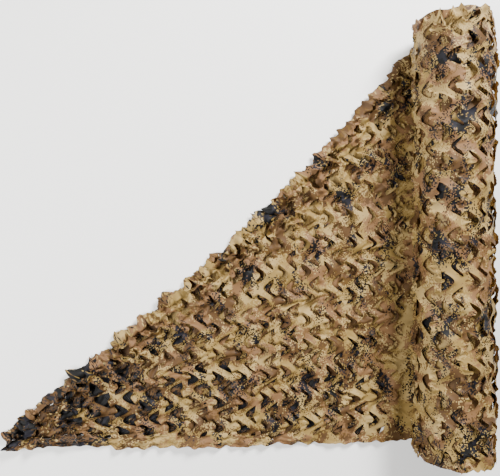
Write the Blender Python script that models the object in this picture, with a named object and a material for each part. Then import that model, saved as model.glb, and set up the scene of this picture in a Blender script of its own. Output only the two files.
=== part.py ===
"""Camouflage netting: a leaf-cut net, most of it wound on a roll, its loose end laid out and folded.

The frame: +Z is up and the floor is z = 0. The roll lies along Y with its axis over x = 0, and the loose
end leaves its underside towards -X. The loose end is one cloth, folded under along a diagonal, so that a
triangle shows: its corners are the roll's far end, the roll's near end and the pulled-out tip.

The cloth is worked out flat first. A point of it is (u, v): u runs from 0 at the roll to 1 at the cut end,
and v from 0 at the near selvedge to 1 at the far one. lay_flat() gives its place on the floor before the
fold, and fold() gives its place after it. All sizes are in metres.
"""

import math

import bpy
import numpy as np
from mathutils.geometry import delaunay_2d_cdt

# The roll.
ROLL_RADIUS = 0.133  # at the start of its outer turn
ROLL_AXIS_Z = 0.1305  # a little less than the radius, which leaves the flat spot
ROLL_TURN = 0.010  # the loft of one turn: the outline winds in by this much
ROLL_LENGTH = 1.500
FLAT_HALF = 0.020  # half the width of the flat spot
FLAP_ROOM = 0.0038  # the height over the floor at which the roll clears the loose end
ROLL_SIDES = 44
ROLL_STATIONS = 16
FIRST_TURN = 0.048  # the share of a turn from the middle of the flat spot to where the round begins
RIM = 0.016  # how far the rounded rim of an end reaches along the roll
RIM_SINK = 0.006  # and how far it comes in
END_RINGS = 15
END_TURN = 0.030  # the pitch of the main turns that show on an end
END_RELIEF = 0.0040
# Lumps of the wound cloth: height, waves round the roll, waves along it, and phase.
ROLL_LUMPS = (
    (0.0026, 2, 1.0, 0.4),
    (0.0020, 3, 2.0, 2.1),
    (0.0016, 5, 3.5, 4.0),
    (0.0014, 0, 5.0, 1.2),
)
LUMP_FADE = 0.12  # the lumps fade out over this last share of a turn
END_UNEVEN = ((0.004, 23.0), (0.003, 41.0))  # height and waves of an end, along x and along z
END_CENTRE = 0.03  # its spiral fades out within this radius

# The loose end, before it is folded.
CLOTH_START = -0.0203  # its inner end, a hair from the step of the roll
CLOTH_REACH = 1.590  # from there to the tip
NEAR_EDGE = (-0.746, -0.779)  # y of the near selvedge at the roll and at the tip
EDGE_RIPPLE = 0.0025
EDGE_RIPPLES = 9.0
FAR_EDGE = (0.750, 0.575)  # y of the far selvedge, at the roll and at the cut end
LEAN = (0.06, 0.120)  # the lines across the cloth lean out near mid length, and in at its cut end
TONGUE = 0.040  # but past the near selvedge the cut end reaches out by this much
TONGUE_SIDE = (0.045, 0.060)  # from this share of the width on, and over this share
SHEET_THICK = 0.0022
CORNERS = np.array([(0.0, 0.0), (1.0, 0.0), (1.0, 1.0), (0.0, 1.0), (0.0, 0.0)])  # of the cloth, closed

# The leaf cuts: the pitch of the pattern, and how the pull opens it.
PITCH_ALONG = (0.072, 0.100)  # at the roll and at the tip
PITCH_ACROSS = 0.096
SQUASH = (0.16, 0.34)  # how much of the pitch across is lost towards the tip
MAX_GAPS = 300
GAP_EDGE = 0.010  # cloth left between a gap and any edge
GAP_REACH = 0.12  # no gap reaches further than this from its middle
FIRST_CUT = (0.9, 0.35)  # the place of the first cut, in pitches along and across
OPEN_FROM = 0.05  # the cuts begin to open at this share of the way to the tip
OPEN_OVER = 0.75  # and are open this much further on
OPEN_ACROSS = (0.75, 0.25)  # how open they are midway across, and how much that changes to each side
OPEN_LEAST = 0.06
# A gap's corners while it is shut, and how far each has moved when it is open, in pitches.
GAP_TIP = (0.39, 0.346)
GAP_TIP_MOVE = (-0.10, -0.05)
GAP_WIDE = 0.07
GAP_WIDE_MOVE = 0.48
GAP_BLUNT = 0.055
GAP_MIRROR = (0.951, 0.5)  # a cut that points right is mirrored here along, and moved so far across

# The fold.
FOLD_START = (-0.060, 0.7435)
FOLD_END = (-1.6115, -0.735)
FOLD_BOW = 0.0665  # how far the fold bows in from a straight line
BOW_SKEW = 0.85  # the bow is a half sine wave, drawn towards the roll by this power
BOW_POWER = 1.1
BOW_RIPPLES = ((0.004, 31.0, 0.6), (0.003, 53.0, 2.2))  # height, waves and phase
BOW_RIPPLE_FADE = 0.1
LEAF_REACH = 0.012  # leaf tips stand out of the fold by this much
LEAF_PITCH = 0.110  # and this far apart
LEAF_FADE = 0.1  # they grow over this first stretch of the fold
LEAF_POWER = 4  # and stand out at the crest alone
FOLD_RADIUS = (0.0035, 0.0150, 0.0090)  # under the roll, along the sheet, and at the tip
FOLD_GROWS = 0.12  # the share of the fold over which the first becomes the second
FOLD_SHRINKS = (0.7, 0.3)  # where the second starts to become the third, and over what share
SLACK_EASE = 0.02  # the slack of the fold is taken up over this distance
LAYER_GAP = 0.0120  # the height of the upper layer over the under layer
SETTLE = (0.020, 0.150)  # the upper layer sinks to that height over this distance, at the roll and along
SETTLE_RUN = 0.35  # the length of fold over which the one distance becomes the other
DROP = 0.050  # and past the under layer's edge it comes down to the floor over this one
TUCK = (0.030, 0.055)  # under the roll it lies flat: from this far out it rises, over this distance
# Waves of the upper layer: height, wave length along x, along y, and phase.
SHEET_WAVES = (
    (0.0022, 0.42, 0.55, 0.3),
    (0.0018, 0.27, -0.36, 2.0),
    (0.0012, 0.19, 0.21, 4.4),
)
FOLD_TURNS = (-1.0, -0.55, 0.0, 0.55, 1.0)  # the lines of the fold, in quarter turns from its crest
EDGE_STEP = 0.055  # the spacing of points along the fold
FOLD_STEPS = 24  # points along the fold in the outline of the under layer
FINE_STEPS = 560  # steps of the walk along one side of the cloth
FINE_PER_STEP = 20  # and how many of them make one step of its outline
LINE_EDGE = 0.006  # how near a line of the fold comes to the outline before it joins it
SETTLE_ROWS = (0.06, 0.11, 0.17)  # rows of points this far in from the fold
FIELD_STEP = 0.085  # the spacing of points inside the sheet, where there are no gaps
FIELD_HALF = 1.2  # that field reaches this far to each side of the fold
FIELD_BESIDE = (-0.05, 0.20)  # but leaves out this band beside it

SHEET_COLOR = (0.42, 0.30, 0.17)
ROLL_COLOR = (0.36, 0.25, 0.14)
CLOTH_ROUGHNESS = 0.9
SHARP_EDGE = math.radians(50.0)


def smooth(x):
    """0 below 0, 1 above 1, and 3 x^2 - 2 x^3 between."""
    x = np.clip(x, 0.0, 1.0)
    return x * x * (3.0 - 2.0 * x)


def blend(ends, x):
    """A straight run from ends[0] at x = 0 to ends[1] at x = 1."""
    return ends[0] + (ends[1] - ends[0]) * x


# ---------------------------------------------------------------------------------------------------------
# The cloth before and after the fold


def pitch_across(u):
    """The pitch of the cuts across the cloth, near the near selvedge."""
    return PITCH_ACROSS * (1.0 - SQUASH[0] * u - SQUASH[1] * u**4)


def lay_flat(u, v):
    """The place of a point of the cloth before the fold.

    The near selvedge runs straight but for a slight ripple. Across the cloth, the pitch starts at
    pitch_across(u) and grows evenly to fill the width there. At the cut end, the part that goes under
    reaches out a little further than the near corner.
    """
    near = blend(NEAR_EDGE, u) + EDGE_RIPPLE * np.sin(EDGE_RIPPLES * 2.0 * math.pi * u)
    width = blend(FAR_EDGE, u) - near
    first = pitch_across(u) / PITCH_ACROSS * (FAR_EDGE[0] - NEAR_EDGE[0]) / width
    y = near + width * (first * v + (1.0 - first) * v * v)
    x = CLOTH_START - CLOTH_REACH * u * (1.0 + LEAN[0] * v * (1.0 - u * u) - LEAN[1] * v * u**4)
    x -= TONGUE * smooth((v - TONGUE_SIDE[0]) / TONGUE_SIDE[1]) * u**6
    return np.stack([x, y], axis=-1)


FOLD_RUN = np.subtract(FOLD_END, FOLD_START)
FOLD_LENGTH = float(np.linalg.norm(FOLD_RUN))
ALONG = FOLD_RUN / FOLD_LENGTH
INWARD = np.array([-ALONG[1], ALONG[0]])  # from the fold towards the cloth that shows


def fold_bow(a):
    """How far inward the fold lies from its straight line, a metres along it."""
    t = np.clip(a / FOLD_LENGTH, 0.0, 1.0)
    ripple = sum(height * np.sin(a * waves + phase) for height, waves, phase in BOW_RIPPLES)
    bow = FOLD_BOW * np.sin(math.pi * t**BOW_SKEW) ** BOW_POWER
    return bow + ripple * smooth(t / BOW_RIPPLE_FADE)


def fold_radius(a):
    """The radius of the fold: small under the roll, full along the sheet, less at the tip."""
    t = a / FOLD_LENGTH
    root, full, tip = FOLD_RADIUS
    begin, over = FOLD_SHRINKS
    return root + (full - root) * smooth(t / FOLD_GROWS) + (tip - full) * smooth((t - begin) / over)


def to_fold(flat):
    """(a, s) of a flat point: its place along the fold, and how far inward of the fold it lies.

    s is negative on the cloth that goes under.
    """
    away = flat - FOLD_START
    a = away @ ALONG
    d = away @ INWARD
    s = d - fold_bow(a)
    return a, s + np.sign(s) * arc_slack(a) * smooth(np.abs(s) / SLACK_EASE)


def arc_slack(a):
    """The cloth that the half circle of the fold takes up on each side, beyond its own radius."""
    return (math.pi / 2.0 - 1.0) * fold_radius(a)


def plan(a, s):
    """The place on the floor of the point (a, s) of the folded cloth."""
    r = fold_radius(a)
    s = np.abs(s)
    bend = np.minimum(s / r, math.pi / 2.0)
    d = r * (1.0 - np.cos(bend)) + np.maximum(s - r * math.pi / 2.0, 0.0)
    return np.array(FOLD_START) + np.multiply.outer(a, ALONG) + np.multiply.outer(d + fold_bow(a), INWARD)


def cloth_edge():
    """The outline of the cloth in (a, s), from the near corner at the roll, round the tip and back.

    It is walked finely, and keeps a point every FINE_PER_STEP and wherever it crosses a line of the fold.
    The second answer is the number of the line that each point is on, or -1.
    """
    walked = []
    for start, end in zip(CORNERS[:-1], CORNERS[1:]):
        walked.append(start + np.linspace(0.0, 1.0, FINE_STEPS + 1)[:-1, None] * (end - start))
    walked = np.concatenate(walked)
    a, s = to_fold(lay_flat(walked[:, 0], walked[:, 1]))
    keep = np.arange(len(a)) % FINE_PER_STEP == 0
    turned = s / (fold_radius(a) * math.pi / 2.0)
    on_line = np.full(len(a), -1)
    for k, line in enumerate(FOLD_TURNS):
        on_line[(turned - line) * (np.roll(turned, -1) - line) < 0.0] = k
    keep |= on_line >= 0
    return np.column_stack([a, s])[keep], on_line[keep]


def inside(points, outline):
    """Whether each point lies inside a closed outline, by counting the edges that a ray to +x crosses."""
    found = np.zeros(len(points), bool)
    for p, q in zip(outline, np.roll(outline, -1, axis=0)):
        crosses = (p[1] > points[:, 1]) != (q[1] > points[:, 1])
        if crosses.any():
            at = p[0] + (points[:, 1] - p[1]) * (q[0] - p[0]) / (q[1] - p[1] + 1e-15)
            found ^= crosses & (points[:, 0] < at)
    return found


def edge_distance(points, outline):
    """How far each point is from the nearest edge of a closed outline."""
    best = np.full(len(points), np.inf)
    for p, q in zip(outline, np.roll(outline, -1, axis=0)):
        run = q - p
        t = np.clip((points - p) @ run / max(run @ run, 1e-15), 0.0, 1.0)
        best = np.minimum(best, np.linalg.norm(points - p - t[:, None] * run, axis=1))
    return best


def under_outline():
    """The outline on the floor of the layer that lies under."""
    edge, _ = cloth_edge()
    under = edge[edge[:, 1] < 0.0]
    ring = plan(under[:, 0], under[:, 1])
    line = np.linspace(0.0, FOLD_LENGTH, FOLD_STEPS)
    return np.concatenate([ring, plan(line, 0.0 * line)])


def sheet_height(floor_place, a, s, under):
    """The height of the middle of the cloth over the floor, for the upper layer past the fold.

    It leaves the fold at twice the fold's radius and settles to LAYER_GAP over the under layer. Past the
    edge of the under layer it comes down to the floor.
    """
    x, y = floor_place[:, 0], floor_place[:, 1]
    over = np.where(inside(floor_place, under), 1.0, -1.0) * edge_distance(floor_place, under)
    carried = smooth((over + DROP) / DROP)
    waves = sum(
        h * np.sin(2.0 * math.pi * (x / lx + y / ly) + phase) for h, lx, ly, phase in SHEET_WAVES
    )
    low = (LAYER_GAP + waves) * carried * smooth((-x - TUCK[0]) / TUCK[1])
    r = fold_radius(a)
    settled = smooth((s - r * math.pi / 2.0) / blend(SETTLE, smooth(a / SETTLE_RUN)))
    return 2.0 * r * (1.0 - settled) + low * settled


def fold(a, s, side, under):
    """The place of the cloth's outer (side 1) or inner (side -1) face at (a, s).

    Within a quarter turn of the fold it follows a half circle, whose crest is drawn out to leaf tips.
    Past it, the under layer lies flat on the floor and the upper layer has sheet_height().
    """
    r = fold_radius(a)
    bend = np.clip(s / r, -math.pi / 2.0, math.pi / 2.0)
    floor_place = plan(a, s)
    leaf = LEAF_REACH * (0.5 + 0.5 * np.sin(2.0 * math.pi * a / LEAF_PITCH)) * smooth(a / LEAF_FADE)
    floor_place -= np.multiply.outer(leaf * np.cos(bend) ** LEAF_POWER, INWARD)
    z = r * (1.0 + np.sin(bend))
    past = s > r * math.pi / 2.0
    z[past] = sheet_height(floor_place[past], a[past], s[past], under)
    out = np.multiply.outer(-np.cos(bend), np.append(INWARD, 0.0))
    out[:, 2] += np.sin(bend)
    middle = np.column_stack([floor_place, z + SHEET_THICK / 2.0])
    return middle + side * SHEET_THICK / 2.0 * out


# ---------------------------------------------------------------------------------------------------------
# The gaps of the leaf cuts


def column_of(u):
    """How many columns of cuts lie between the roll and u, as the pitch grows evenly from end to end."""
    first, last = PITCH_ALONG
    return CLOTH_REACH / (last - first) * np.log(1.0 + u * (last - first) / first)


def u_of(column):
    """The u of a column of cuts: column_of() turned round."""
    first, last = PITCH_ALONG
    return (np.exp(column * (last - first) / CLOTH_REACH) - 1.0) * first / (last - first)


def openness(u, v):
    """From 0, cuts nearly shut beside the roll, to 1, cuts pulled wide open near the tip."""
    middle, change = OPEN_ACROSS
    return smooth((u - OPEN_FROM) / OPEN_OVER) * (middle + change * np.cos(math.pi * v)) + OPEN_LEAST


def gap_shape(open_by, points_right):
    """The six corners of a gap round the middle of its cut, in pitches along and across the cloth.

    Shut, a cut is a chevron. Pulled open, its two lips part and it becomes a rounded diamond.
    """
    tip_x, tip_y = np.add(GAP_TIP, np.multiply(GAP_TIP_MOVE, open_by))
    wide = GAP_WIDE + GAP_WIDE_MOVE * open_by
    corners = np.array(
        [
            (0.0, -GAP_BLUNT),
            (tip_x, -tip_y),
            (wide, -GAP_BLUNT),
            (wide, GAP_BLUNT),
            (tip_x, tip_y),
            (0.0, GAP_BLUNT),
        ]
    )
    if points_right:
        mirror, moved = GAP_MIRROR
        corners[:, 0] = mirror - corners[:, 0]
        corners[:, 1] += moved
        corners = corners[::-1]
    return corners


def gaps():
    """The gaps that are cut through, as their corners in (a, s): every left one, then the largest others."""
    columns = int(column_of(1.0)) + 1
    rows = int((FAR_EDGE[0] - NEAR_EDGE[0]) / PITCH_ACROSS) + 1
    outline, _ = cloth_edge()
    along, across = FIRST_CUT
    first, others = [], []
    for column in range(columns):
        for row in range(rows):
            for points_right in (False, True):
                u = float(u_of(column + 0.5))
                v = (row + across) * PITCH_ACROSS / (FAR_EDGE[0] - NEAR_EDGE[0])
                shape = gap_shape(float(openness(u, v)), points_right)
                cu = u_of(column + along - shape[:, 0])
                cv = (row + across + shape[:, 1]) * PITCH_ACROSS / (FAR_EDGE[0] - NEAR_EDGE[0])
                if cu.min() < 0.0 or cu.max() > 1.0 or cv.min() < 0.0 or cv.max() > 1.0:
                    continue
                a, s = to_fold(lay_flat(cu, cv))
                corners = np.stack([a, s], axis=-1)
                bend = fold_radius(a) * math.pi / 2.0 + GAP_EDGE
                one_side = (s > bend).all() or (s < -bend).all()
                if not one_side or edge_distance(corners, outline).min() < GAP_EDGE:
                    continue
                x, y = corners.T
                area = abs(float(x @ np.roll(y, -1) - y @ np.roll(x, -1))) / 2.0
                (others if points_right else first).append((area, corners))
    others.sort(key=lambda gap: -gap[0])
    return [gap[1] for gap in (first + others)[:MAX_GAPS]]


# ---------------------------------------------------------------------------------------------------------
# The solids


def material(name, color):
    """The cloth's plain finish, in a colour."""
    mat = bpy.data.materials.new(name)
    mat.use_nodes = True
    shader = mat.node_tree.nodes["Principled BSDF"]
    shader.inputs["Base Color"].default_value = (*color, 1.0)
    shader.inputs["Roughness"].default_value = CLOTH_ROUGHNESS
    return mat


def add_solid(name, points, faces, mat):
    """An object from the triangles of a closed surface, turned so that they face outwards."""
    p, q, r = (points[faces[:, k]] for k in range(3))
    if (p * np.cross(q, r)).sum() < 0.0:
        faces = faces[:, ::-1]
    mesh = bpy.data.meshes.new(name)
    mesh.from_pydata([tuple(p) for p in points], [], [tuple(int(i) for i in f) for f in faces])
    mesh.materials.append(mat)
    mesh.shade_smooth()
    mesh.set_sharp_from_angle(angle=SHARP_EDGE)
    bpy.context.scene.collection.objects.link(bpy.data.objects.new(name, mesh))


def flat_net():
    """The triangles of the cloth in (a, s), with its gaps left out."""
    outline, on_line = cloth_edge()
    holes = gaps()
    points = [outline]
    edges = [(k, (k + 1) % len(outline)) for k in range(len(outline))]
    count = len(outline)
    for k, line in enumerate(fold_lines()):
        line = line[inside(line, outline) & (edge_distance(line, outline) > LINE_EDGE)]
        ends = np.flatnonzero(on_line == k)
        ends = ends[np.argsort(outline[ends, 0])]
        chain = [ends[0], *range(count, count + len(line)), ends[-1]]
        edges += list(zip(chain[:-1], chain[1:]))
        points.append(line)
        count += len(line)
    for hole in holes:
        edges += [(count + k, count + (k + 1) % len(hole)) for k in range(len(hole))]
        points.append(hole)
        count += len(hole)
    corners = np.concatenate(points)
    loose = field_points()
    keep = inside(loose, outline) & (edge_distance(loose, outline) > GAP_EDGE)
    for hole in holes:
        near = np.linalg.norm(loose - hole.mean(axis=0), axis=1) < GAP_REACH
        keep[near] &= ~inside(loose[near], hole)
        keep[near] &= edge_distance(loose[near], hole) > GAP_EDGE
    corners = np.concatenate([corners, loose[keep]])
    made = delaunay_2d_cdt([tuple(p) for p in corners], edges, [], 0, 1e-7)
    at = np.array([tuple(p) for p in made[0]])
    faces = np.array([tuple(f) for f in made[2]])
    middle = at[faces].mean(axis=1)
    keep = inside(middle, outline)
    for hole in holes:
        near = np.linalg.norm(middle - hole.mean(axis=0), axis=1) < GAP_REACH
        keep[near] &= ~inside(middle[near], hole)
    faces = faces[keep]
    p, q, r = (at[faces[:, k]] for k in range(3))
    turn = (q[:, 0] - p[:, 0]) * (r[:, 1] - p[:, 1]) - (q[:, 1] - p[:, 1]) * (r[:, 0] - p[:, 0])
    faces[turn < 0.0] = faces[turn < 0.0][:, ::-1]
    used, faces = np.unique(faces, return_inverse=True)
    return at[used], faces.reshape(-1, 3)


def fold_lines():
    """The points of each line of the fold, from its crest to a quarter turn on each side."""
    a = np.arange(EDGE_STEP / 2.0, FOLD_LENGTH, EDGE_STEP)
    return [np.column_stack([a, turn * fold_radius(a) * math.pi / 2.0]) for turn in FOLD_TURNS]


def field_points():
    """Rows of points where the upper layer settles beside the fold, and an even field past them."""
    along = np.arange(0.0, FOLD_LENGTH, EDGE_STEP)
    rows = [np.column_stack([along, np.full(len(along), reach)]) for reach in SETTLE_ROWS]
    a, s = np.meshgrid(
        np.arange(0.0, FOLD_LENGTH, FIELD_STEP), np.arange(-FIELD_HALF, FIELD_HALF, FIELD_STEP), indexing="ij"
    )
    field = np.column_stack([a.ravel(), s.ravel()])
    low, high = FIELD_BESIDE
    beside = (field[:, 1] > low) & (field[:, 1] < high)
    return np.concatenate(rows + [field[~beside]])


def netting_sheet():
    """The loose end: two faces a thickness apart, joined along every edge."""
    at, faces = flat_net()
    under = under_outline()
    outer = fold(at[:, 0], at[:, 1], 1.0, under)
    inner = fold(at[:, 0], at[:, 1], -1.0, under)
    n = len(at)
    half = np.concatenate([faces[:, [0, 1]], faces[:, [1, 2]], faces[:, [2, 0]]])
    pairs = {tuple(edge) for edge in half.tolist()}
    rim = np.array([edge for edge in pairs if edge[::-1] not in pairs])
    rim = rim[np.lexsort(rim.T)]
    walls = np.concatenate(
        [
            np.column_stack([rim[:, 1], rim[:, 0], rim[:, 0] + n]),
            np.column_stack([rim[:, 1], rim[:, 0] + n, rim[:, 1] + n]),
        ]
    )
    skin = np.concatenate([faces, faces[:, ::-1] + n, walls])
    points = np.concatenate([outer, inner])
    add_solid("netting_sheet", points, skin, material("netting_cloth", SHEET_COLOR))


def roll_radius(turn, y):
    """The radius at turn (0 to 1 round the roll from its underside) and y: it winds in, with lumps."""
    lumps = sum(
        h * np.sin(2.0 * math.pi * (around * turn + along * y) + phase)
        for h, around, along, phase in ROLL_LUMPS
    )
    return ROLL_RADIUS - ROLL_TURN * turn + lumps * smooth((1.0 - turn) / LUMP_FADE)


def roll_outline(y, sink):
    """One outline of the roll at y as (x, z), sunk in by sink: the flat spot, round by +X, and the step."""
    turn = np.linspace(FIRST_TURN, 1.0 - FIRST_TURN, ROLL_SIDES)
    angle = 2.0 * math.pi * turn
    r = roll_radius(turn, y) - sink
    x = r * np.sin(angle)
    z = np.maximum(ROLL_AXIS_Z - r * np.cos(angle), np.where(turn < 0.5, 0.0, FLAP_ROOM))
    spot = [(-FLAT_HALF, 0.0), (-0.2 * FLAT_HALF, 0.0), (FLAT_HALF, 0.0)]
    return np.concatenate([spot, np.column_stack([x, z]), [(-FLAT_HALF, FLAP_ROOM)]])


def end_relief(x, z, y_sign):
    """How far an end stands out at (x, z): the main turns as a spiral ridge, and a slow unevenness."""
    r = np.hypot(x, z - ROLL_AXIS_Z)
    angle = np.arctan2(x, ROLL_AXIS_Z - z)
    spiral = END_RELIEF * np.sin(2.0 * math.pi * r / END_TURN + y_sign * angle)
    (height_x, waves_x), (height_z, waves_z) = END_UNEVEN
    uneven = height_x * np.sin(x * waves_x + y_sign) + height_z * np.sin(z * waves_z + 2.0 * y_sign)
    return spiral * smooth(r / END_CENTRE) + uneven


def netting_roll():
    """The wound part: outlines along Y, with rounded rims, and ends that show the main turns."""
    half = ROLL_LENGTH / 2.0
    rings = []
    for y_sign in (-1.0, 1.0):
        end = []
        shares = (np.arange(END_RINGS) + 1.0) / (END_RINGS + 0.5)
        for share in shares:
            ring = roll_outline(y_sign * half, RIM_SINK)
            x, z = ring[:, 0] * share, ROLL_AXIS_Z + (ring[:, 1] - ROLL_AXIS_Z) * share
            end.append(np.column_stack([x, y_sign * (half + end_relief(x, z, y_sign)), z]))
        rings.append(end if y_sign < 0.0 else end[::-1])
    side = []
    for y in np.linspace(-half + RIM, half - RIM, ROLL_STATIONS):
        ring = roll_outline(y, 0.0)
        side.append(np.column_stack([ring[:, 0], np.full(len(ring), y), ring[:, 1]]))
    rings = rings[0] + side + rings[1]
    n, count = len(rings[0]), len(rings)
    points = np.concatenate(rings + [[rings[0].mean(axis=0)], [rings[-1].mean(axis=0)]])
    here = np.arange(n)
    after = (here + 1) % n
    faces = []
    for k in range(count - 1):
        low, high = k * n, (k + 1) * n
        faces.append(np.column_stack([low + here, low + after, high + after]))
        faces.append(np.column_stack([low + here, high + after, high + here]))
    faces.append(np.column_stack([after, here, np.full(n, count * n)]))
    top = (count - 1) * n
    faces.append(np.column_stack([top + here, top + after, np.full(n, count * n + 1)]))
    add_solid("netting_roll", points, np.concatenate(faces), material("netting_cloth_wound", ROLL_COLOR))


for old in list(bpy.data.objects):
    bpy.data.objects.remove(old)
netting_roll()
netting_sheet()
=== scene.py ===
"""Camouflage netting: the leaf-cut cloth, its print, the floor, the light and the camera.

The net is one cloth. Its columns of leaf cuts run across it, and each column has two ribbons, joined by
bridges. The cloth is worked out flat, pulled so that its cuts open, and then mapped onto the frame: its
loose end onto the folded sheet and the rest onto the roll's outer turn. Sizes are in metres, and those
of the print in millimetres.
"""

import math

import bpy
import numpy as np
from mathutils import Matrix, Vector


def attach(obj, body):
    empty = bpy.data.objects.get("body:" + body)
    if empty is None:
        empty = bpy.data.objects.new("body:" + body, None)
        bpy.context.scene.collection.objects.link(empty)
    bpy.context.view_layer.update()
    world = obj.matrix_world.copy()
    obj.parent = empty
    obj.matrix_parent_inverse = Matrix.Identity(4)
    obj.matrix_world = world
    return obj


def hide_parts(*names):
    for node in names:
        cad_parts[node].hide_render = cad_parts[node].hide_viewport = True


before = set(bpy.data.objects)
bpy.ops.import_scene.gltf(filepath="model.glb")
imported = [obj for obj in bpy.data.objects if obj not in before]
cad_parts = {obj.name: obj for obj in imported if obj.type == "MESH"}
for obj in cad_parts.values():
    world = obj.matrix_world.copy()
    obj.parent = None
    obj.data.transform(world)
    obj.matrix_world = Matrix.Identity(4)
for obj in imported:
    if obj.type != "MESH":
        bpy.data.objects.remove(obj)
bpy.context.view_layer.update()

# ---------------------------------------------------------------------------------------------------------
# The frame's numbers, as its solids have them

# The roll, and its lumps: height, waves round it, waves a metre along it, and phase.
ROLL_RADIUS = 0.133
ROLL_AXIS_Z = 0.1305
ROLL_TURN = 0.010  # it winds in by this much over its outer turn
ROLL_LUMPS = (
    (0.0026, 2, 1.0, 0.4),
    (0.0020, 3, 2.0, 2.1),
    (0.0016, 5, 3.5, 4.0),
    (0.0014, 0, 5.0, 1.2),
)
LUMP_FADE = 0.12  # the lumps fade out over this last share of a turn

# The loose end before it is folded.
CLOTH_START = -0.0203  # x of its inner end
CLOTH_REACH = 1.590  # from there to the tip
NEAR_EDGE = (-0.746, -0.779)  # y of the near selvedge at the roll and at the tip
EDGE_RIPPLE = 0.0025  # the near selvedge ripples by this much
EDGE_RIPPLES = 9.0  # and so many times
FAR_EDGE = (0.750, 0.575)  # y of the far selvedge, at the roll and at the cut end
LEAN = (0.06, 0.120)  # the lines across the cloth lean out near mid length, and in at its cut end
TONGUE = 0.040  # but past the near selvedge the cut end reaches out by this much
TONGUE_SIDE = (0.045, 0.060)  # from this share of the width on, and over this share
PITCH_ALONG = (0.072, 0.100)  # the pitch of the columns of cuts, at the roll and at the tip
PITCH_ACROSS = 0.096  # the pitch of the cuts in a column
SQUASH = (0.16, 0.34)  # how much of the pitch across is lost towards the tip

# The fold.
FOLD_START = (-0.060, 0.7435)
FOLD_END = (-1.6115, -0.735)
FOLD_BOW = 0.0665  # how far the fold bows in from a straight line
BOW_SKEW = 0.85  # the bow is a half sine wave, drawn towards the roll by this power
BOW_POWER = 1.1
BOW_RIPPLES = ((0.004, 31.0, 0.6), (0.003, 53.0, 2.2))  # height, waves and phase
BOW_RIPPLE_FADE = 0.1
LEAF_REACH = 0.012  # leaf tips stand out of the fold by this much
LEAF_PITCH = 0.110  # and this far apart
LEAF_FADE = 0.1  # they grow over this first stretch of the fold
LEAF_POWER = 4  # and stand out at the crest alone
FOLD_RADIUS = (0.0035, 0.0150, 0.0090)  # under the roll, along the sheet, and at the tip
FOLD_GROWS = 0.12  # the share of the fold over which the first becomes the second
FOLD_SHRINKS = (0.7, 0.3)  # where the second starts to become the third, and over what share
SLACK_EASE = 0.02  # the slack of the fold is taken up over this distance
SHEET_THICK = 0.0022
LAYER_GAP = 0.0120  # the height of the upper layer over the under layer
SETTLE = (0.020, 0.150)  # the upper layer sinks to that height over this distance, at the roll and along
SETTLE_RUN = 0.35  # the length of fold over which the one distance becomes the other
DROP = 0.050  # and past the under layer's edge it comes down to the floor over this one
TUCK = (0.030, 0.055)  # under the roll it lies flat: from this far out it rises, over this distance
# Waves of the upper layer: height, wave length along x, along y, and phase.
SHEET_WAVES = (
    (0.0022, 0.42, 0.55, 0.3),
    (0.0018, 0.27, -0.36, 2.0),
    (0.0012, 0.19, 0.21, 4.4),
)
CORNERS = np.array([(0.0, 0.0), (1.0, 0.0), (1.0, 1.0), (0.0, 1.0), (0.0, 0.0)])  # of the cloth, closed
EDGE_STEPS = 28  # points of the under layer's outline along each side of the cloth
FOLD_STEPS = 24  # and along the fold

# ---------------------------------------------------------------------------------------------------------
# The numbers of the net

# The cloth as it is cut.
WIDTH = 1.496
COLUMN = 0.070  # the pitch of the columns of cuts while they are shut
RIBBON = 0.029  # the width of a column's narrow ribbon; the wide one has the rest
ZIGZAG = 0.042  # how far a ribbon's corners stand to the side
ZIGZAG_ROUND = 0.80  # near 0 the zigzag is a sine wave, and at 1 its corners are sharp
SHEET_COLUMNS = 19
ROLL_COLUMNS = 12

# The points it is worked out on: lines along the ribbons, and rows along each line.
NARROW_LINES = 6
WIDE_LINES = 8
LINES = NARROW_LINES + WIDE_LINES
ROWS = 313
ROWS_PER_CUT = 20
CUT_ROW = 7  # the middle of the first cut
CUT_HALF = 7  # rows from the middle of a cut to its end
SELVEDGE_ROWS = 3  # rows at each selvedge that no cut reaches

# Where the pull takes it.
OVERLAP = 0.1  # the loose end starts this share of a column into the roll
ROLL_COLUMN = 0.0765  # the pitch of the columns round the roll
ROLL_EDGE = (-0.757, 0.758)  # y of the selvedges on the roll
ROLL_WIDENS = 3.0  # columns over which the cloth takes up that width
LOOSE = 0.060  # part way round the roll the cloth is drawn out by this much, and its cuts open
LOOSE_FROM = 0.44  # from this far round it
LOOSE_WANDER = 0.045  # more or less by this, as the place wanders along the roll
LOOSE_WAVE = 0.47
LOOSE_RUN = 0.24  # and over this distance
UNEVEN = (0.11, 0.40)  # the shortest and longest wave of the unevenness
UNEVEN_BY = (0.0065, 0.0090)  # how far it moves the cloth, and how far beside the fold
ROOT_CALM = 0.15  # nothing moves the cloth next to the roll, and all of it this far out
TIP_CALM = 0.15  # and so at the tip
BESIDE = (0.04, 0.10)  # beside the fold is this far in from it, and as much as this to each side of that
ROOT_CRUMPLE = 0.35  # the share of all crumple that is left at the roll
CRUMPLE_RUN = 1.1  # it is whole this far along the fold
BESIDE_CRUMPLE_RUN = 0.8  # or, for what the pull starts from, this far from the roll
BUNCH = 0.020  # how far the cloth is gathered towards the fold
BUNCH_REACH = (0.018, 0.065, 0.230)  # from here, most here, and to here, inward of the fold
BUNCH_WAVE = (0.3, 37.0, 1.0)  # it varies along the fold: share, waves and phase

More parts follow.
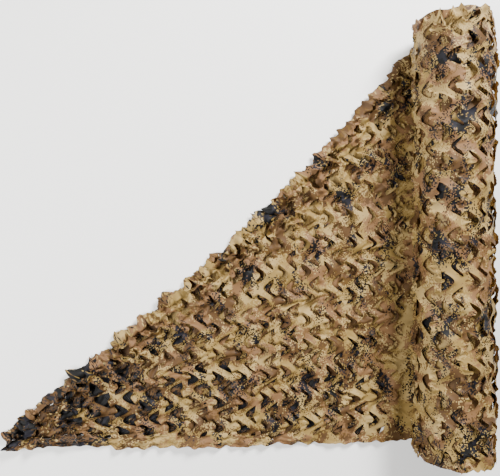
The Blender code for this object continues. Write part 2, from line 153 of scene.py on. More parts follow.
# How the ribbons stand when the pull starts.
PULL_FULL = 1.5  # the pull grows from 0 at the roll to 1, and would reach this at the tip
ROLL_PULL = 0.14
HALF_WIDTHS = (0.0110, 0.0155)  # of the narrow ribbon and the wide one
TILT = (0.40, 1.30)  # how steeply they tilt, with no pull and with all of it
TILT_SPREAD = (0.85, 0.70)  # each has its own share of that: the mean and the spread
TILT_LIMITS = (-0.8, 1.3)
START_HEIGHT = (0.0015, 0.009)  # how high they start, likewise
START_ROUGH = 0.0018  # how uneven they are
START_CRUMPLE = 0.0075  # and how uneven beside the fold
WOBBLE_ROWS = 6  # that noise has a random height at every so many rows

# The pull.
STEPS = 140
SLANT = 0.7  # how firmly the cloth keeps its length aslant, where 1 is fully
BEND = 0.12  # and how firmly it holds itself straight
ANCHOR = 0.12  # how firmly the bridges are drawn to their places in each step
HELD_FROM = 8  # rows from the middle of a cut to what is drawn so
END_ANCHOR = 0.6  # and how firmly the cut end is
SAG = 0.0005  # the share of its height that each point loses in a step

# How low and how high a point may stand from the middle of the frame's cloth.
BAND_LOW = (-0.0075, -0.0040)  # the lowest, under the fold and over it
BAND_HIGH = (0.0120, 0.0340)  # the highest over the fold, where the cuts are shut and where open
BAND_RUN = 1.1  # they are open this far from the roll
BESIDE_BAND = (0.7, 0.04, 0.12, 0.25)  # beside the fold: how open, its place, its reach, and its start
FLOOR_BAND = 0.0009  # the height over the floor that the band of the upper layer keeps
UNDER_ROLL = 0.002  # and what it keeps from the roll over it
LEAST_BAND = 0.0002  # the highest is at least this much over the lowest
ROLL_BAND = (-0.0110, 0.0035)  # on the roll, where heights count inwards

# The lips of the cuts.
LIP_BACK = 0.0105  # how far a lip turns back into its ribbon
LIP_RISE = 0.0110  # how far one lip of each cut rises
LIP_SINK = 0.0035  # and how far the other sinks
LIP_SIZES = (-0.30, 1.35)  # each has its own size; one below 0 counts as 0
LIP_SHARES = (1.0, 0.62, 0.30, 0.08)  # how much each line moves, from the lip into the ribbon
LIP_AIM = 3  # a lip moves towards the line so many further in
SHEET_CURL = (0.34, 1.10)  # how much they turn back at the roll and further out
SHEET_LIFT = (0.70, 1.10)  # and how much they rise
CURL_RUN = 0.9  # over about this distance
CURL_DELAY = 0.05
TIP_CURL = 0.45  # so much more at the tip
TIP_CURL_FROM = (1.05, 0.4)  # from this far out, and over this distance
EVEN_SIZE = 0.85  # the size of the lips where they are all alike, as they are at the roll
EVEN_BLUNT = 1.8  # there they reach their full size sooner
TIP_EVEN = 0.75  # how alike they are at the tip
TIP_EVEN_FROM = (0.85, 0.40)
ROLL_EVEN = 0.55  # and how alike on the roll
ROLL_CURL = (0.60, 1.00)  # how much they turn and rise on the roll, and at its limb over the loose end
LIMB_TURN = 0.70  # where that is, in turns
LIMB_REACH = 0.18

# The cuts that are drawn nearly shut.
UNDER_SHUT = 0.995  # in the layer underneath
UNDER_SHUT_FROM = (0.015, 0.03)  # from this far under, and over this distance
SINGLE_SHUT = 0.995  # where the upper layer has none under it
SINGLE_EDGE = 0.030  # that starts this far inside the edge of the under layer
SINGLE_FADE = 0.016
CREST_SHUT = 0.95  # at the fold
CREST_REACH = 0.050  # and so far to each side of it

# The loose end's surface.
FLOOR_CLEAR = 0.0008  # no point lies lower
CREASE = 0.0095  # the height of the creases beside the fold
CREASE_REACH = (0.0, 0.045, 0.125)  # from here, most here, and to here
CREASE_TIP = (0.7, 0.85, 0.12)  # at the tip most is nearer the fold: by this share, from here, over this
# The creases: wave length inward, wave length along the fold, and phase.
CREASES = ((0.026, 0.170, 0.4), (0.033, 0.115, 4.1), (0.160, 0.031, 1.3), (-0.120, 0.043, 5.0))
RUFFLE = (0.0058, 0.0032)  # the height of the ruffles there, and how far they move to the side
RUFFLE_START = (-0.010, 0.020)  # they start this far inward of it, and grow over this distance
RUFFLE_REACH = 0.150  # they end this far in
RUFFLE_FADE = 0.060  # and shrink over this distance
RUFFLE_WAVES = (0.020, 0.042)  # the shortest and longest wave, here and below
FRILL = 0.0034  # how far the near selvedge waves to the side
FRILL_RISE = 0.0060  # and how far up and down
FRILL_REACH = 0.028  # within this distance of it
FRILL_WAVES = (0.025, 0.08)
GROW = 0.1  # ruffles, frill and horns grow over this first distance
LEAF_TIP = 0.018  # how far the corner of a ribbon stands out of the fold
TIP_REACH = 0.045  # they do so within this distance of the fold
TIP_WAY = np.array([-0.98, 0.20])  # and this way
TIP_LINES = (1.0, 0.72, 0.42, 0.16)  # how much of it each line has, from the lip in
TIP_ROWS = 4.2  # and how many rows from the corner it ends
TIP_SIZES = (-0.5, 1.0)  # one below 0 counts as 0
HORN = 0.020  # how far the horns of the crest stand out
HORN_PITCH = 0.044
HORN_HALF = 0.36  # half the width of a horn, in pitches
HORN_SIZES = (0.1, 1.1)
HORN_MOVED = 0.14  # how far one is moved along the crest, at most, in pitches
HORN_POWER = 1.5
HORN_FADE = 0.12  # they shrink over this last distance

# The outer turn's surface.
ROLL_TIP = 0.014  # how far the corner of a ribbon stands out of the roll
ROLL_PUFF = 0.0070  # the cloth puffs out by up to this
PUFF_WAVES = (0.06, 0.16)
END_REACH = 0.075  # within this distance of the ends it is ragged
END_RAGGED = (0.0150, 0.0060)  # by this far inwards, and this high
END_WAVES = (0.04, 0.09)
NOTCH_WAVES = (0.03, 0.09)
NOTCH_POWER = 1.5
ROLL_RANGE = (-0.0035, 0.0165)  # the least and the most that it stands out of the frame's roll

# The cloth wound inside it. Its closed form:
CORE_GRID = (120, 181)  # points round it and along it
CORE_HALF = 0.728  # from its middle to each end
CORE_DEPTH = 0.0125  # how far it lies inside the outer turn
CORE_STEP = 0.06  # the share of a turn over which it steps in by the winding
CORE_LUMP = 0.0015
CORE_WAVES = (9.0, 6.0, 11.0)  # of the lumps: round it, along it, and along it alone
CORE_RINGS = (0.97, 0.75, 0.5, 0.25, 0.02)  # the rings of its ends, as shares of its radius
CORE_PRINT = (0.9, 0.75)  # where on the printed cloth it starts
CORE_PRINT_ROUND = 0.82  # and how much cloth goes round it
# And the wound edge of its turns, a strip at each end:
STRIP_RADIUS = 0.1265
STRIP_TURN = 0.0100  # it comes in by this much in a turn
STRIP_TURNS = (0.04, 11.6)
STRIP_STEPS = 900
STRIP_LINES = 6
STRIP_Y = 0.716  # where it starts
STRIP_WIDTH = 0.036
STRIP_SLOW = (9.0, 23.0)  # its slow waves
STRIP_QUICK = (131.0, 67.0, 0.7)  # its quick ones, and the share of the second
STRIP_RUFFLE = (0.0016, 0.0012)  # how far the quick and the slow ones move it in and out
STRIP_RAGGED = (0.0055, 0.0025)  # how far its ragged edge and the slow ones move it along
STRIP_NOTCH = 0.024  # the length of a notch of that edge
STRIP_PRINT = 1.2  # where on the printed cloth it starts

# The seeds of all that is uneven.
SEED_UNEVEN = (31, 32)
SEED_TILT = 3
SEED_ROUGH = 5
SEED_CRUMPLE = 6
SEED_LIPS = 17
SEED_TIPS = 11
SEED_RUFFLE = (61, 62, 63)
SEED_FRILL = (44, 45)
SEED_HORNS = 51
SEED_PUFF = 41
SEED_END = 42
SEED_NOTCH = 43
SEED_STRIP = 21
NOISE_WAVES = 8  # how many sine waves make smooth noise
NOISE_PHASE = 6.3  # the largest phase of one, about a whole turn

# ---------------------------------------------------------------------------------------------------------
# The numbers of the print, the light and the camera

# The colours of the dyes, and of daylight that has come through them.
KHAKI = "#8A713E"
PALE = "#A08755"
PINK_TAN = "#765738"
BROWN = "#523A20"
CREAM = "#A18959"
OLIVE = "#5E451F"
BLACK = "#0B0A09"
NAVY = "#18171E"
WARM = "#F0C890"
WHITE = "#FFFFFF"

PIXEL = 3.6  # the side of a square of the print
# Painted shade over the flat cloth: a name, the axis, and where the change begins and ends.
PAINTED_SHADE_FADES = (
    # Painted shade: tip darkens the print towards the tip, for the deep shade of its bunched layers.
    ("tip", 0, -850.0, -1300.0),
    # Painted shade: roll darkens the print from just beside the roll onto the roll, for the shade of the
    # crevice there.
    ("roll", 0, -80.0, 160.0),
    # underneath and near side mark out the tip's under layer, where the print is darkened as painted shade.
    ("underneath", 1, 230.0, 360.0),
    ("near side", 1, 850.0, 560.0),
)
# The masks of the print. Each is 1 where noise, with weighted terms added to it, is above a level.
# The columns: name, size of the noise, seed, detail, its turn and how it is drawn out, terms, level.
PRINT_MASKS = (
    ("pale", 120.0, 9, 2.0, (0.0, 1.0), (("grain", 0.10),), 0.56),
    ("pink", 105.0, 1, 2.5, (0.0, 1.0), (("grain", 0.10),), 0.575),
    # Its tip term is painted shade: more brown squares towards the tip.
    ("brown", 92.0, 2, 3.0, (0.0, 1.0), (("grain", 0.12), ("tip", 0.24)), 0.625),
    ("cream", 70.0, 3, 1.0, (0.0, 1.0), (("grain", 0.50), ("brown", 0.07)), 1.035),
    ("olive", 60.0, 7, 1.0, (0.0, 1.0), (("other grain", 0.50),), 1.01),
    # Its tip, tip's under layer and roll terms are painted shade: more dark squares at the tip, in its
    # under layer, and beside and on the roll.
    (
        "dark", 74.0, 5, 3.0, (0.8, 0.5),
        (("grain", 0.22), ("tip", 0.10), ("under tip shade", 0.17), ("roll", 0.035)), 0.738,
    ),
    ("navy", 26.0, 6, 1.0, (0.0, 1.0), (), 0.56),
)
PRINT_LAYERS = (("pale", PALE), ("pink", PINK_TAN), ("brown", BROWN), ("cream", CREAM), ("olive", OLIVE))
SEED_MOVE = (137.0, 71.0)  # a seed moves its noise by this much, times the seed
GRAIN_MOVE = (997.0, 331.0, 0.0)  # and this is how far the other grain is moved
MASK_EDGE = 0.004  # half the step between 0 and 1, too narrow to see
THREADS = 1.4  # threads a millimetre, a 0.7 mm spacing: coarser than real ones, so that it shows close by
WEAVE_STRENGTH = 0.25
WEAVE_DEPTH = 0.0004
CLOTH_ROUGHNESS = 0.62
CLOTH_SPECULAR = 0.22
LIGHT_THROUGH = 0.17  # the share of light that comes through the cloth

FLOOR_COLOUR = "#F4F3F0"
FLOOR_ROUGHNESS = 0.9
FLOOR_LOW = (-7.0, -6.0)
FLOOR_HIGH = (6.0, 6.0)
WORLD_STRENGTH = 0.24
CAMERA_AT = (-0.700, 0.0, 1.956)
CAMERA_SENSOR = 36.0
CAMERA_LENS = 38.1


def smooth(x):
    """0 below 0, 1 above 1, and 3 x^2 - 2 x^3 between."""
    x = np.clip(x, 0.0, 1.0)
    return x * x * (3.0 - 2.0 * x)


def blend(ends, x):
    """A straight run from ends[0] at x = 0 to ends[1] at x = 1."""
    return ends[0] + (ends[1] - ends[0]) * x


def ramp(x, run):
    """0 up to x = run[0], and smoothly up to 1 over the distance run[1]."""
    return smooth((x - run[0]) / run[1])


def near(x, place, reach):
    """1 at x = place, and smoothly down to 0 at reach to each side of it."""
    return smooth(1.0 - np.abs(x - place) / reach)


def hill(x, begin, full, end):
    """0 up to begin, smoothly up to 1 at full, and smoothly down to 0 at end."""
    return smooth((x - begin) / (full - begin)) * smooth((end - x) / (end - full))


# ---------------------------------------------------------------------------------------------------------
# The frame's folded sheet


def lay_flat(u, v):
    """The place of a point of the cloth before the fold, as the frame has it.

    u runs from 0 at the roll to 1 at the tip, and v from 0 at the near selvedge to 1 at the far one. y is
    a parabola of v between the selvedges, so that the cloth is denser on one side, and x is a straight
    run of u, less what the lines across lean in and out, plus the tongue.
    """
    near = blend(NEAR_EDGE, u) + EDGE_RIPPLE * np.sin(EDGE_RIPPLES * 2.0 * math.pi * u)
    width = blend(FAR_EDGE, u) - near
    first = (1.0 - SQUASH[0] * u - SQUASH[1] * u**4) * (FAR_EDGE[0] - NEAR_EDGE[0]) / width
    y = near + width * (first * v + (1.0 - first) * v * v)
    x = CLOTH_START - CLOTH_REACH * u * (1.0 + LEAN[0] * v * (1.0 - u * u) - LEAN[1] * v * u**4)
    x = x - TONGUE * ramp(v, TONGUE_SIDE) * u**6
    return np.stack([x, y], axis=-1)


FOLD_RUN = np.subtract(FOLD_END, FOLD_START)
FOLD_LENGTH = float(np.linalg.norm(FOLD_RUN))
ALONG = FOLD_RUN / FOLD_LENGTH
INWARD = np.array([-ALONG[1], ALONG[0]])  # from the fold towards the cloth that shows


def fold_bow(a):
    """How far inward the fold lies from its straight line, a metres along it: a half sine and ripples."""
    t = np.clip(a / FOLD_LENGTH, 0.0, 1.0)
    ripple = sum(height * np.sin(a * count + phase) for height, count, phase in BOW_RIPPLES)
    bow = FOLD_BOW * np.sin(math.pi * t**BOW_SKEW) ** BOW_POWER
    return bow + ripple * smooth(t / BOW_RIPPLE_FADE)


def fold_radius(a):
    """The radius of the fold: small under the roll, full along the sheet, less at the tip."""
    t = a / FOLD_LENGTH
    root, full, tip = FOLD_RADIUS
    return root + (full - root) * smooth(t / FOLD_GROWS) + (tip - full) * ramp(t, FOLD_SHRINKS)


def to_fold(flat):
    """(a, s) of a flat point: its place along the fold, and how far inward of it, negative underneath.

    The half circle of the fold takes up pi / 2 - 1 of its radius on each side, and s has that added.
    """
    away = flat - FOLD_START
    a = away @ ALONG
    s = away @ INWARD - fold_bow(a)
    slack = (math.pi / 2.0 - 1.0) * fold_radius(a)
    return a, s + np.sign(s) * slack * smooth(np.abs(s) / SLACK_EASE)


def plan(a, s):
    """The place on the floor of the point (a, s) of the folded cloth.

    Inward of the fold it is r (1 - cos) of the angle within a quarter turn, and then a straight run.
    """
    r = fold_radius(a)
    s = np.abs(s)
    bend = np.minimum(s / r, math.pi / 2.0)
    d = r * (1.0 - np.cos(bend)) + np.maximum(s - r * math.pi / 2.0, 0.0)
    return np.array(FOLD_START) + np.multiply.outer(a, ALONG) + np.multiply.outer(d + fold_bow(a), INWARD)


def under_outline():
    """The outline on the floor of the layer that lies under: the cloth's edge there, and the fold."""
    steps = np.linspace(0.0, 1.0, EDGE_STEPS + 1)[:-1, None]
    walked = np.concatenate([p + steps * (q - p) for p, q in zip(CORNERS[:-1], CORNERS[1:])])
    a, s = to_fold(lay_flat(walked[:, 0], walked[:, 1]))
    ring = plan(a[s < 0.0], s[s < 0.0])
    line = np.linspace(0.0, FOLD_LENGTH, FOLD_STEPS)
    return np.concatenate([ring, plan(line, 0.0 * line)])


def edge_distance(points, outline):
    """How far each point lies inside a closed outline, or outside it if negative.

    The distance is that to the nearest edge. A point is inside if a ray to +x crosses an odd number.
    """
    best = np.full(len(points), np.inf)
    found = np.zeros(len(points), bool)
    for p, q in zip(outline, np.roll(outline, -1, axis=0)):
        run = q - p
        t = np.clip((points - p) @ run / max(run @ run, 1e-15), 0.0, 1.0)
        best = np.minimum(best, np.linalg.norm(points - p - t[:, None] * run, axis=1))
        crosses = (p[1] > points[:, 1]) != (q[1] > points[:, 1])
        at = p[0] + (points[:, 1] - p[1]) * (q[0] - p[0]) / (q[1] - p[1] + 1e-15)
        found ^= crosses & (points[:, 0] < at)
    return np.where(found, best, -best)


UNDER = under_outline()


def sheet_height(floor_place, a, s):
    """The height over the floor of the middle of the upper layer past the fold.

    It leaves the fold at twice the fold's radius and settles to LAYER_GAP, with waves. Past the edge of
    the under layer it comes down to the floor.
    """
    x, y = floor_place[:, 0], floor_place[:, 1]
    carried = smooth((edge_distance(floor_place, UNDER) + DROP) / DROP)
    relief = sum(
        h * np.sin(2.0 * math.pi * (x / lx + y / ly) + phase) for h, lx, ly, phase in SHEET_WAVES
    )
    low = (LAYER_GAP + relief) * carried * ramp(-x, TUCK)
    r = fold_radius(a)
    settled = smooth((s - r * math.pi / 2.0) / blend(SETTLE, smooth(a / SETTLE_RUN)))
    return 2.0 * r * (1.0 - settled) + low * settled


def crest(a, s):
    """(r, angle) of a point of the fold: its radius, and the angle round it from the crest, s / r."""
    r = fold_radius(a)
    return r, np.clip(s / r, -math.pi / 2.0, math.pi / 2.0)


def folded_middle(flat):
    """The middle of the folded cloth at flat points: its place, and the way its upper face looks.

    Within a quarter turn of the crest it follows a half circle, whose crest is drawn out to leaf tips.
    Past it, the under layer lies flat on the floor and the upper layer has sheet_height().
    """
    a, s = to_fold(flat)
    r, bend = crest(a, s)
    floor_place = plan(a, s)
    leaf = LEAF_REACH * (0.5 + 0.5 * np.sin(2.0 * math.pi * a / LEAF_PITCH)) * smooth(a / LEAF_FADE)
    floor_place -= np.multiply.outer(leaf * np.cos(bend) ** LEAF_POWER, INWARD)
    z = r * (1.0 + np.sin(bend))
    past = s > r * math.pi / 2.0
    z[past] = sheet_height(floor_place[past], a[past], s[past])
    out = np.multiply.outer(-np.cos(bend), np.append(INWARD, 0.0))
    out[:, 2] += np.sin(bend)
    return np.column_stack([floor_place, z + SHEET_THICK / 2.0]), out


# ---------------------------------------------------------------------------------------------------------
# The frame's roll


def roll_turn(arc):
    """How many turns round the roll the arc is, at the mean radius of the outer turn."""
    return arc / (2.0 * math.pi * (ROLL_RADIUS - ROLL_TURN / 2.0))


def roll_radius(turn, y):
    """The radius of the wound cloth: it winds in by ROLL_TURN over a turn, and its lumps are sines."""
    lumps = sum(
        h * np.sin(2.0 * math.pi * (around * turn + along * y) + phase)
        for h, around, along, phase in ROLL_LUMPS
    )
    return ROLL_RADIUS - ROLL_TURN * turn + lumps * smooth((1.0 - turn) / LUMP_FADE)


def wound(arc, y, outward):
    """A point of the roll's outer turn, arc metres from the flat spot's middle, raised by outward.

    Its angle grows evenly with the arc, from the underside round by +x.
    """
    turn = roll_turn(arc)
    r = roll_radius(turn, y) + outward
    angle = 2.0 * math.pi * turn
    z = np.maximum(ROLL_AXIS_Z - r * np.cos(angle), FLOOR_CLEAR)
    return np.column_stack([r * np.sin(angle), y, z])


# ---------------------------------------------------------------------------------------------------------
# The net: its cuts and its places


def zigzag(q):
    """How far a column's lines stand to the right at q: a triangle wave of one cut's pitch, its tops round.

    It is arcsin(k cos) / arcsin(k), where k is ZIGZAG_ROUND.
    """
    wave = np.arcsin(ZIGZAG_ROUND * np.cos(2.0 * math.pi * (q / PITCH_ACROSS - CUT_ROW / ROWS_PER_CUT)))
    return ZIGZAG * (0.5 - 0.5 * wave / math.asin(ZIGZAG_ROUND))


def from_cut(row, offset):
    """How many rows each row is from the middle of its cut, and that cut's number."""
    half = ROWS_PER_CUT // 2
    moved = row - CUT_ROW - offset + half
    return np.abs(moved % ROWS_PER_CUT - half), moved // ROWS_PER_CUT + 1


def bridges():
    """The rows where the cloth isn't cut, on the line left of a narrow ribbon and on that right of it."""
    row = np.arange(ROWS)
    edge = (row < SELVEDGE_ROWS) | (row >= ROWS - SELVEDGE_ROWS)
    first = from_cut(row, 0)[0] >= CUT_HALF
    second = from_cut(row, ROWS_PER_CUT // 2)[0] >= CUT_HALF
    return first | edge, second | edge


def cut_cloth():
    """The flat, cut cloth: x along it and y across it, for each column, line and row.

    A line lies at its own place in its column, moved aside by the zigzag. The cloth's cut end, on the
    first line of the first column, is straight.
    """
    q = np.linspace(0.0, WIDTH, ROWS)
    narrow = np.linspace(0.0, RIBBON, NARROW_LINES)
    wide = np.linspace(RIBBON, COLUMN, WIDE_LINES)
    p = np.concatenate([narrow, wide])
    columns = SHEET_COLUMNS + ROLL_COLUMNS
    start = (np.arange(columns) - (SHEET_COLUMNS - OVERLAP)) * COLUMN
    corners = np.ones((columns, LINES, 1))
    corners[0] = (p / COLUMN)[:, None]
    x = start[:, None, None] + p[:, None] + ZIGZAG / 2.0 + (zigzag(q) - ZIGZAG / 2.0) * corners
    return np.stack([x, np.broadcast_to(q, x.shape)])


def column_home(x, q):
    """Where the pull takes a point of the cut cloth, on the floor before the fold or on along the roll.

    The pitch of the columns grows evenly over the cloth, so the length that they cover is an exponential
    of their number. Past the roll's underside their pitch is even, but where the cloth is drawn out.
    """
    column = -x / COLUMN
    first, last = PITCH_ALONG
    u = (np.exp(np.maximum(column, 0.0) * (last - first) / CLOTH_REACH) - 1.0) * first / (last - first)
    v = q / WIDTH
    home = lay_flat(u, v)
    past = np.maximum(-column, 0.0)
    begin = LOOSE_FROM + LOOSE_WANDER * np.sin(2.0 * math.pi * q / LOOSE_WAVE)
    home[..., 0] += past * ROLL_COLUMN + LOOSE * smooth((past * ROLL_COLUMN - begin) / LOOSE_RUN)
    wide = smooth(past / ROLL_WIDENS)
    home[..., 1] += wide * (blend(ROLL_EDGE, v) - blend((NEAR_EDGE[0], FAR_EDGE[0]), v))
    return home


def crumple(distance, run=CRUMPLE_RUN):
    """The share of all crumple that there is at a distance: ROOT_CRUMPLE at 0, and 1 from run on."""
    return blend((ROOT_CRUMPLE, 1.0), smooth(distance / run))


def bunched(home):
    """The homes gathered along the fold: the cloth beside it is drawn towards it, by BUNCH at most.

    The gather rises and falls smoothly over BUNCH_REACH, and varies along the fold as a sine wave.
    """
    a, s = to_fold(np.moveaxis(home, 0, -1))
    share, count, phase = BUNCH_WAVE
    drawn = hill(s, *BUNCH_REACH) * BUNCH * crumple(a) * (1.0 - share + share * np.sin(a * count + phase))
    drawn = drawn * smooth(a / ROOT_CALM) * (home[0] < 0.0)
    return home - drawn * INWARD[:, None, None, None]


def height_band(home):
    """How low and how high the net may stand from the middle of the frame's cloth at its homes."""
    x = home[0].ravel()
    flat = np.stack([x, home[1].ravel()], axis=-1)
    a, s = to_fold(flat)
    middle, _ = folded_middle(flat)
    top = smooth(s / (fold_radius(a) * math.pi / 2.0) * 0.5 + 0.5)
    share, place, reach, start = BESIDE_BAND
    opened = smooth(-x / BAND_RUN)
    opened = np.maximum(opened, share * near(s, place, reach) * smooth(-x / start))
    low = blend(BAND_LOW, top)
    low = np.where(s > 0.0, np.maximum(low, FLOOR_BAND - middle[:, 2]), low)
    high = blend((0.0, blend(BAND_HIGH, opened)), top)
    under = np.sqrt(np.maximum((ROLL_RADIUS + UNDER_ROLL) ** 2 - middle[:, 0] ** 2, 0.0))
    room = ROLL_AXIS_Z - under - middle[:, 2]
    high = np.where(np.abs(middle[:, 0]) < ROLL_RADIUS, np.minimum(high, room), high)
    high = np.maximum(high, low + LEAST_BAND)
    low = np.where(x > 0.0, ROLL_BAND[0], low).reshape(home[0].shape)
    high = np.where(x > 0.0, ROLL_BAND[1], high).reshape(home[0].shape)
    return low, high


# ---------------------------------------------------------------------------------------------------------
# The net: how it is pulled


def wobble(shape, seed, amount):
    """Seeded smooth noise on a grid: random heights at every WOBBLE_ROWS-th point, eased between."""
    rng = np.random.default_rng(seed)
    coarse = rng.normal(0.0, amount, (shape[0], shape[1], shape[2] // WOBBLE_ROWS + 2))
    at = np.arange(shape[2]) / WOBBLE_ROWS
    low = at.astype(int)
    t = smooth(at - low)
    return coarse[..., low] * (1.0 - t) + coarse[..., low + 1] * t


def waves(x, q, seed, lengths):
    """Seeded smooth noise of about 1 in size: a sum of sine waves, their lengths within lengths."""
    rng = np.random.default_rng(seed)
    total = np.zeros(x.shape)
    for _ in range(NOISE_WAVES):
        length, way, phase = rng.uniform(*lengths), rng.uniform(0.0, math.pi), rng.uniform(0.0, NOISE_PHASE)
        total += np.sin(2.0 * math.pi / length * (x * math.cos(way) + q * math.sin(way)) + phase)
    return total / 2.0


def pull(a, b, rest, share):
    """Moves each pair of points of a and b along the line between them, towards their rest distance."""
    gap = b - a
    length = np.sqrt((gap * gap).sum(axis=0)) + 1e-9
    gap *= 0.5 * share * (length - rest) / length
    a += gap
    b -= gap


def pairs():
    """The pairs of neighbours of the net, as (lines, rows, lines, rows, share) slices of its points.

    No point is in two pairs of one entry. Along the lines and across the ribbons the cloth hardly gives,
    aslant it gives a little, and two points apart it holds itself straight more weakly.
    """
    across = [(0, LINES), (1, NARROW_LINES - 1), (NARROW_LINES + 1, LINES - 1)]
    found = []
    for row in (0, 1):
        found.append((slice(None), slice(row, ROWS - 1, 2), slice(None), slice(row + 1, ROWS, 2), 1.0))
    for low, high in across:
        found.append((slice(low, high, 2), slice(None), slice(low + 1, high, 2), slice(None), 1.0))
    for row in (0, 1):
        for low, high in across:
            here, there = slice(low, high, 2), slice(low + 1, high, 2)
            top, bottom = slice(row, ROWS - 1, 2), slice(row + 1, ROWS, 2)
            found.append((here, top, there, bottom, SLANT))
            found.append((here, bottom, there, top, SLANT))
    for row in range(4):
        last = (ROWS - 3 - row) // 4 * 4 + row + 1
        here, there = slice(row, last, 4), slice(row + 2, last + 2, 4)
        found.append((slice(None), here, slice(None), there, BEND))
    for low in (0, 2, NARROW_LINES, NARROW_LINES + 2, NARROW_LINES + 4):
        found.append((slice(low, low + 2), slice(None), slice(low + 2, low + 4), slice(None), BEND))
    return found


def start_heights(shape, beside):
    """The heights that the pull starts from: each ribbon is tilted, and is a little uneven.

    A point's height is less by the tilt times its distance from the middle of its ribbon. The tilt grows
    with the pull, and changes smoothly along each ribbon.
    """
    narrow, wide = HALF_WIDTHS
    side = [np.linspace(-narrow, narrow, NARROW_LINES), np.linspace(-wide, wide, WIDE_LINES)]
    side = np.concatenate(side)
    pulled = smooth(np.linspace(PULL_FULL, 0.0, SHEET_COLUMNS))
    pulled = np.concatenate([pulled, np.full(ROLL_COLUMNS, ROLL_PULL)])[:, None, None]
    mean, spread = TILT_SPREAD
    own = np.clip(mean + spread * wobble((shape[0], 1, ROWS), SEED_TILT, 1.0), *TILT_LIMITS)
    tilted = -(blend(TILT, pulled) * own) * side[:, None]
    height = tilted + wobble(shape, SEED_ROUGH, START_ROUGH) + blend(START_HEIGHT, pulled)
    height = height.astype(np.float32)
    height += beside * wobble(shape, SEED_CRUMPLE, START_CRUMPLE)
    return height


def relax(points, cloth, home, low, high):
    """Brings neighbours back towards the distance they have in the flat cloth, step by step.

    So the cuts open, and the ribbons arch and turn. Each step also joins the ribbons at their bridges,
    draws these and the cut end to their homes, and keeps all heights between low and high.
    """
    flat = cloth.astype(np.float32)
    entries = []
    for lines_a, rows_a, lines_b, rows_b, share in pairs():
        apart = flat[:, :, lines_b, rows_b] - flat[:, :, lines_a, rows_a]
        rest = np.sqrt((apart * apart).sum(axis=0))
        views = points[:, :, lines_a, rows_a], points[:, :, lines_b, rows_b]
        entries.append((*views, rest, share))
    joined_first, joined_second = bridges()
    held = from_cut(np.arange(ROWS), 0)[0] >= HELD_FROM
    last = NARROW_LINES - 1
    for _ in range(STEPS):
        for a, b, rest, share in entries:
            pull(a, b, rest, share)
        mean = 0.5 * (points[:, :, last][..., joined_second] + points[:, :, last + 1][..., joined_second])
        points[:, :, last, joined_second] = mean
        points[:, :, last + 1, joined_second] = mean
        mean = 0.5 * (points[:, 1:, 0][..., joined_first] + points[:, :-1, -1][..., joined_first])
        points[:, 1:, 0, joined_first] = mean
        points[:, :-1, -1, joined_first] = mean
        points[:2, :, 0, held] += ANCHOR * (home[:, :, 0, held] - points[:2, :, 0, held])
        points[:2, 0, 0] += END_ANCHOR * (home[:, 0, 0] - points[:2, 0, 0])
        points[2] *= 1.0 - SAG
        np.clip(points[2], low, high, out=points[2])


def curl_lips(points, home):
    """Turns back the lips of the cuts, so that they open to round holes.

    At the middle of its cut a lip moves by LIP_BACK towards the middle of its ribbon, and one lip of each
    cut rises as the other sinks. All of it falls off smoothly along the cut, and over LIP_SHARES into the
    ribbon. Each lip has its own seeded size, but where the lips are even: there the size is EVEN_SIZE and
    the fall is blunter. The turn in the plane and the rise have their own amounts, which grow from the
    roll to the tip, and round the roll to its limb.
    """
    columns = points.shape[1]
    x = home[0, :, :1]
    limb = near(roll_turn(x), LIMB_TURN, LIMB_REACH)
    along = smooth(-x / CURL_RUN - CURL_DELAY)
    tip_amount = TIP_CURL * ramp(-x, TIP_CURL_FROM)
    tip_even = TIP_EVEN * ramp(-x, TIP_EVEN_FROM)
    amount = np.where(x < 0.0, blend(SHEET_CURL, along) + tip_amount, blend(ROLL_CURL, limb))
    lift = np.where(x < 0.0, blend(SHEET_LIFT, along) + tip_amount, blend(ROLL_CURL, limb))
    even = np.where(x < 0.0, np.maximum(1.0 - along, tip_even), ROLL_EVEN)
    # On the roll heights count inwards, so there the rise and the sink change places.
    up = np.where(x < 0.0, LIP_RISE, LIP_SINK)
    down = -np.where(x < 0.0, LIP_SINK, LIP_RISE)
    rng = np.random.default_rng(SEED_LIPS)
    last = NARROW_LINES - 1
    # Each lip's line, the way into its ribbon, whether it is of a cut of the second kind, and its rise.
    lips = ((0, 1, 0, up), (LINES - 1, -1, 0, down), (last, -1, 1, down), (last + 1, 1, 1, up))
    for line, way, second, rise in lips:
        away, cut = from_cut(np.arange(ROWS), second * ROWS_PER_CUT // 2)
        size = np.maximum(rng.uniform(*LIP_SIZES, (columns, cut.max() + 1)), 0.0)[:, None, cut]
        inside = 1.0 - away / (CUT_HALF + 0.5)
        bump = blend((size, EVEN_SIZE), even)
        bump = bump * blend((smooth(inside), smooth(EVEN_BLUNT * inside)), even)
        gap = points[:2, :, line + LIP_AIM * way] - points[:2, :, line]
        gap /= np.sqrt((gap * gap).sum(axis=0)) + 1e-6
        for step, share in enumerate(LIP_SHARES):
            k = line + step * way
            points[:2, :, k] += LIP_BACK * share * (amount * bump)[:, 0] * gap
            points[2, :, k] += share * (lift * bump * rise)[:, 0]


